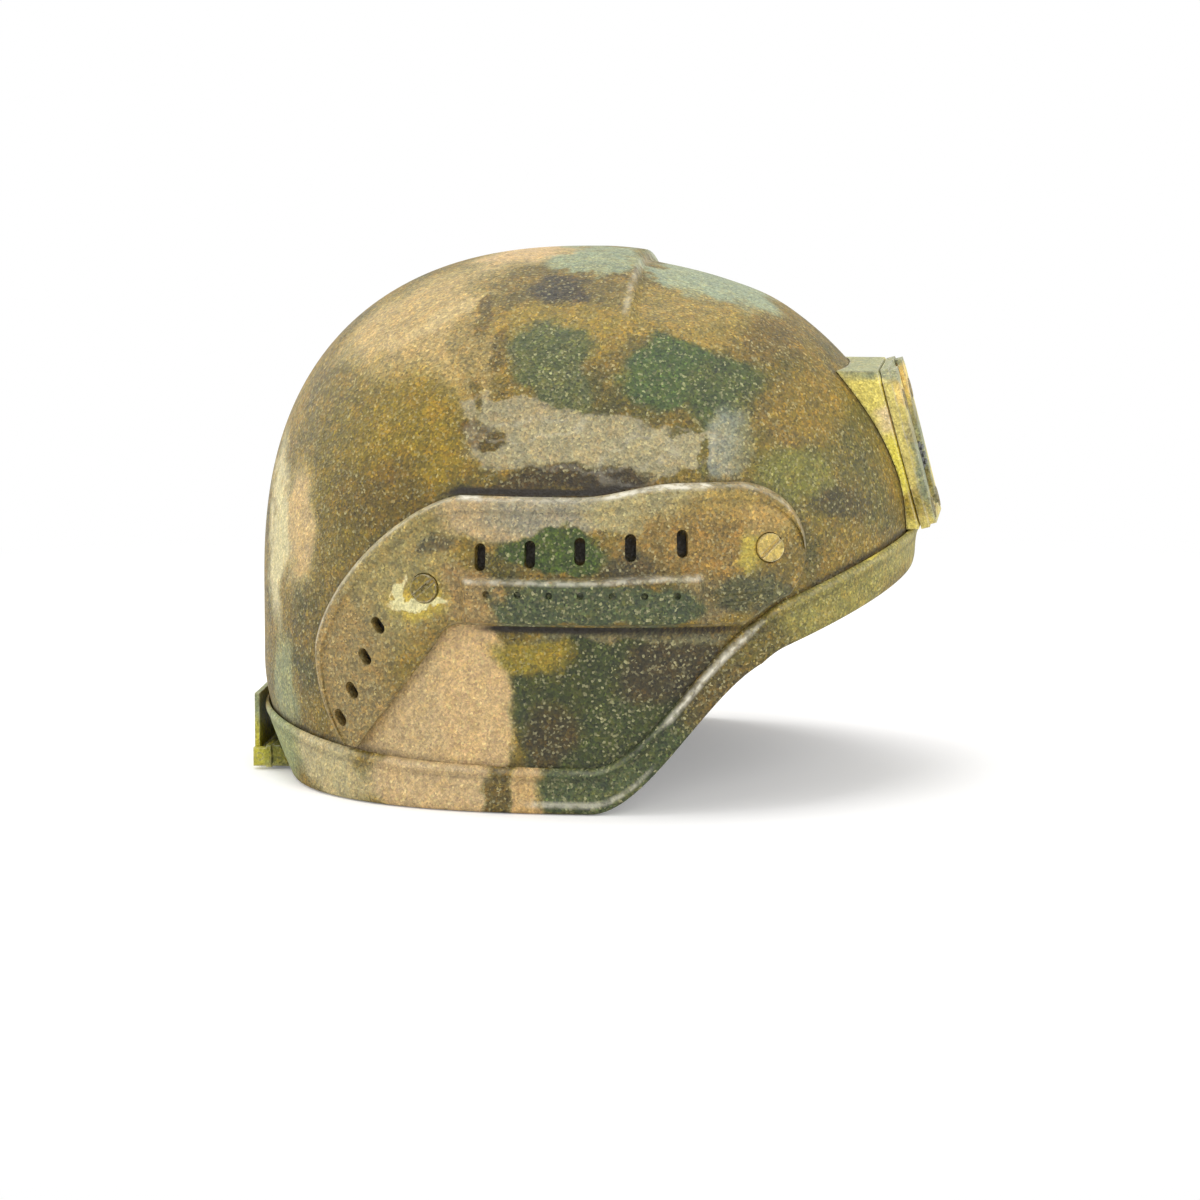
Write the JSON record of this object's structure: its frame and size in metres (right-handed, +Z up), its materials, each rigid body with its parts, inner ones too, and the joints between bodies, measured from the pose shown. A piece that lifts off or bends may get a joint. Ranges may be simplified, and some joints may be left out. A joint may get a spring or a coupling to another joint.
{
  "type": "combat helmet",
  "caption": "Full-cut ballistic helmet with camouflage shell, rubber edge trim, side accessory rails, front mounting shroud, padded liner, chin harness and rear goggle-strap clip.",
  "frame": {"origin": "centre of the bounding box at its base, where the edge trim rests", "axes": "+X towards the wearer's front, +Y towards the wearer's left, +Z up to the crown"},
  "size_m": [0.2802, 0.2582, 0.214],
  "materials": {
    "painted_laminate": "matte sprayed camouflage coat with fine metallic grain over moulded aramid laminate",
    "painted_polymer": "matte, sprayed with the shell",
    "trim_rubber": "matte rubber, sprayed with the shell",
    "rail_polymer": "matte glass-filled polymer, sprayed with the shell",
    "shroud_alloy": "sprayed aluminium",
    "lock_polymer": "matte",
    "fastener_steel": "blackened",
    "bracket_steel": "blackened sheet",
    "spring_steel": "bright wire",
    "hook_tape": "hook-faced tape",
    "pad_foam": "brushed cloth over slow foam",
    "webbing": "woven polyamide",
    "cup_foam": "padded cloth",
    "buckle_polymer": "matte acetal",
    "clip_polymer": "matte, sprayed with the shell"
  },
  "bodies": {
    "helmet": {"shell": "painted_laminate", "edge_trim": "trim_rubber", "rail_right": "rail_polymer", "rail_left": "rail_polymer", "rail_bolts": "fastener_steel", "rail_nuts": "fastener_steel", "harness_brackets": "bracket_steel", "shroud_saddle": "painted_polymer", "shroud_plate": "shroud_alloy", "lock_spring": "spring_steel", "lock_keeper": "bracket_steel", "shroud_screws": "fastener_steel", "shroud_nuts": "fastener_steel", "hook_discs": "hook_tape", "crown_pad": "pad_foam", "front_pad": "pad_foam", "rear_pad": "pad_foam", "side_pad_front_right": "pad_foam", "side_pad_rear_right": "pad_foam", "side_pad_front_left": "pad_foam", "side_pad_rear_left": "pad_foam", "nape_pad": "pad_foam", "front_strap_right": "webbing", "front_strap_left": "webbing", "rear_strap_right": "webbing", "rear_strap_left": "webbing", "nape_strap_right": "webbing", "nape_strap_left": "webbing", "strap_joiners": "buckle_polymer", "chin_strap_right": "webbing", "chin_strap_left": "webbing", "chin_strap_tail": "webbing", "chin_cup": "cup_foam", "buckle_socket": "buckle_polymer", "buckle_plug": "buckle_polymer", "goggle_clip_base": "clip_polymer", "goggle_clip_pin": "fastener_steel", "goggle_clip_screws": "fastener_steel", "goggle_clip_nuts": "fastener_steel", "clip_spacer": "trim_rubber", "clip_backing": "buckle_polymer"},
    "lock_slide": {"shroud_lock": "lock_polymer"},
    "strap_flap": {"goggle_clip_latch": "clip_polymer"},
    "upper_prong": {"buckle_prong_upper": "buckle_polymer"},
    "lower_prong": {"buckle_prong_lower": "buckle_polymer"}
  },
  "joints": [
    {"name": "shroud_lock_slide", "type": "slide", "parent": "helmet", "child": "lock_slide", "axis": [0.2554, 0, -0.9668], "range_m": [0, 0.006], "stiffness_N_per_m": 400, "springref_m": -0.006, "deforming": ["lock_spring"]},
    {"name": "goggle_flap_hinge", "type": "hinge", "parent": "helmet", "child": "strap_flap", "pos_m": [-0.1371, 0, 0.0055], "axis": [0, -1, 0], "range_deg": [0, 65]},
    {"name": "upper_prong_flex", "type": "hinge", "parent": "helmet", "child": "upper_prong", "pos_m": [-0.05564, 0.08776, 0.0345], "axis": [-0.342, 0.9397, 0], "range_deg": [0, 7], "stiffness_Nm_per_rad": 0.6},
    {"name": "lower_prong_flex", "type": "hinge", "parent": "helmet", "child": "lower_prong", "pos_m": [-0.05564, 0.08776, 0.0215], "axis": [0.342, -0.9397, 0], "range_deg": [0, 7], "stiffness_Nm_per_rad": 0.6}
  ]
}
